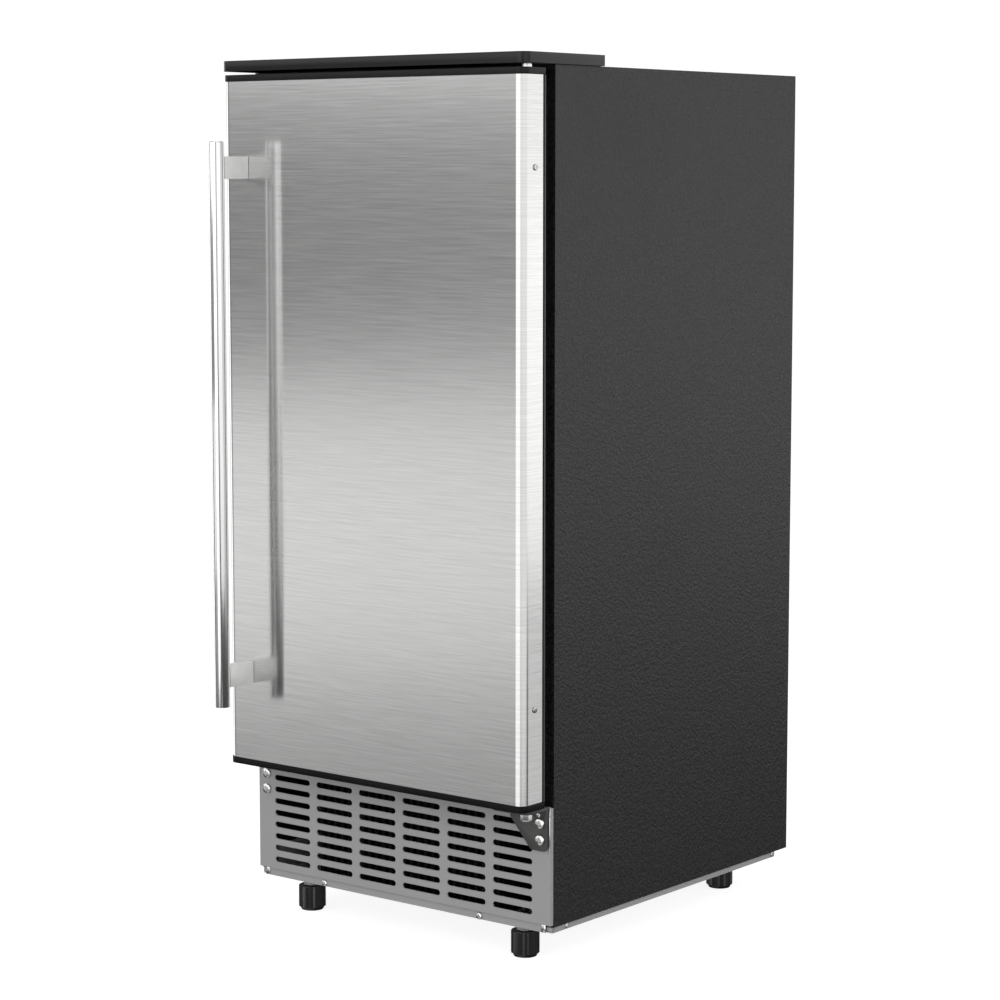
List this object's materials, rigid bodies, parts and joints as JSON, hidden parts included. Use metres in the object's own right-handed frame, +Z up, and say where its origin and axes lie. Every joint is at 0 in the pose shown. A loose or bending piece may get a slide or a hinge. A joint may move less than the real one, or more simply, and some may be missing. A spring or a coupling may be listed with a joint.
{
  "type": "undercounter ice maker",
  "caption": "Slim undercounter ice maker: hinged steel door with a long bar handle, grille below, ice bin and freezing plate inside, cooling works underneath.",
  "frame": {"origin": "on the floor, at the centre of the overall footprint", "axes": "+Z up, -Y towards the door, +X towards the hinge side"},
  "size_m": [0.3794, 0.514, 0.855],
  "materials": {
    "textured_black": "pebbled black powder paint",
    "black_plastic": "satin black moulded plastic",
    "brushed_steel": "fine horizontal brushed grain",
    "grey_steel": "satin grey sheet steel",
    "bright_steel": "bright polished stainless steel",
    "dark_bracket": "dark grey painted steel",
    "liner_white": "white moulded plastic",
    "curtain_white": "smooth white plastic",
    "foam": "cut rigid foam",
    "rubber": "soft matt black rubber",
    "copper": "copper tube, slightly dulled",
    "aluminium": "plain aluminium",
    "display": "glossy dark window",
    "board_green": "green circuit board"
  },
  "bodies": {
    "cabinet": {"cabinet_wrapper": "textured_black", "back_panel": "grey_steel", "base_tray": "grey_steel", "front_grille": "grey_steel", "inner_liner": "liner_white", "insulation_foam": "foam", "top_cap": "black_plastic", "lower_hinge_bracket": "dark_bracket", "lower_hinge_pin": "bright_steel", "upper_hinge_plate": "dark_bracket", "upper_hinge_pin": "bright_steel", "bracket_screw_upper": "bright_steel", "bracket_screw_lower": "bright_steel", "grille_screw_upper": "bright_steel", "grille_screw_lower": "bright_steel", "evaporator_grid": "aluminium", "evaporator_coil": "copper", "evaporator_frame": "liner_white", "water_spray_tube": "curtain_white", "water_trough": "liner_white", "water_pump": "black_plastic", "pump_hose": "curtain_white", "bin_sensor_clip": "black_plastic", "bin_sensor_probe": "copper", "bin_drain_hose": "curtain_white", "control_housing": "liner_white", "display_window": "display", "control_board": "board_green", "condenser_core": "aluminium", "fan_shroud": "grey_steel", "fan_motor": "grey_steel", "compressor": "black_plastic", "compressor_mat": "rubber", "discharge_line": "copper", "filter_drier": "copper", "liquid_line": "copper", "water_valve": "curtain_white", "drain_pump": "black_plastic", "drain_spout": "curtain_white", "cord_gland": "black_plastic"},
    "door": {"door_skin": "brushed_steel", "door_foam": "foam", "door_liner": "black_plastic", "door_gasket": "rubber", "door_bottom_trim": "black_plastic", "door_top_trim": "black_plastic", "door_bottom_bush": "curtain_white", "door_top_bush": "curtain_white", "handle_bar": "bright_steel", "handle_post_lower": "bright_steel", "handle_post_upper": "bright_steel"},
    "curtain": {"splash_curtain": "curtain_white"},
    "fan": {"fan_blade": "black_plastic"},
    "power_button_cap": {"power_button": "black_plastic"},
    "select_button_cap": {"select_button": "black_plastic"},
    "clean_button_cap": {"clean_button": "black_plastic"},
    "front_left_foot": {"foot_front_left": "black_plastic"},
    "front_right_foot": {"foot_front_right": "black_plastic"},
    "rear_left_foot": {"foot_rear_left": "black_plastic"},
    "rear_right_foot": {"foot_rear_right": "black_plastic"}
  },
  "joints": [
    {"name": "door_swing", "type": "hinge", "parent": "cabinet", "child": "door", "pos_m": [0.1745, -0.1883, 0.5], "axis": [0, 0, 1], "range_deg": [0, 110]},
    {"name": "curtain_swing", "type": "hinge", "parent": "cabinet", "child": "curtain", "pos_m": [0, 0.0712, 0.78], "axis": [-1, 0, 0], "range_deg": [-3, 35]},
    {"name": "fan_spin", "type": "hinge", "parent": "cabinet", "child": "fan", "pos_m": [-0.015, -0.0818, 0.096], "axis": [0, 1, 0], "continuous": true},
    {"name": "power_button_press", "type": "slide", "parent": "cabinet", "child": "power_button_cap", "axis": [0, 1, 0], "range_m": [0, 0.0015], "stiffness_N_per_m": 600},
    {"name": "select_button_press", "type": "slide", "parent": "cabinet", "child": "select_button_cap", "axis": [0, 1, 0], "range_m": [0, 0.0015], "stiffness_N_per_m": 600},
    {"name": "clean_button_press", "type": "slide", "parent": "cabinet", "child": "clean_button_cap", "axis": [0, 1, 0], "range_m": [0, 0.0015], "stiffness_N_per_m": 600},
    {"name": "front_left_foot_level", "type": "slide", "parent": "cabinet", "child": "front_left_foot", "axis": [0, 0, -1], "range_m": [0, 0.015]},
    {"name": "front_right_foot_level", "type": "slide", "parent": "cabinet", "child": "front_right_foot", "axis": [0, 0, -1], "range_m": [0, 0.015]},
    {"name": "rear_left_foot_level", "type": "slide", "parent": "cabinet", "child": "rear_left_foot", "axis": [0, 0, -1], "range_m": [0, 0.015]},
    {"name": "rear_right_foot_level", "type": "slide", "parent": "cabinet", "child": "rear_right_foot", "axis": [0, 0, -1], "range_m": [0, 0.015]}
  ]
}
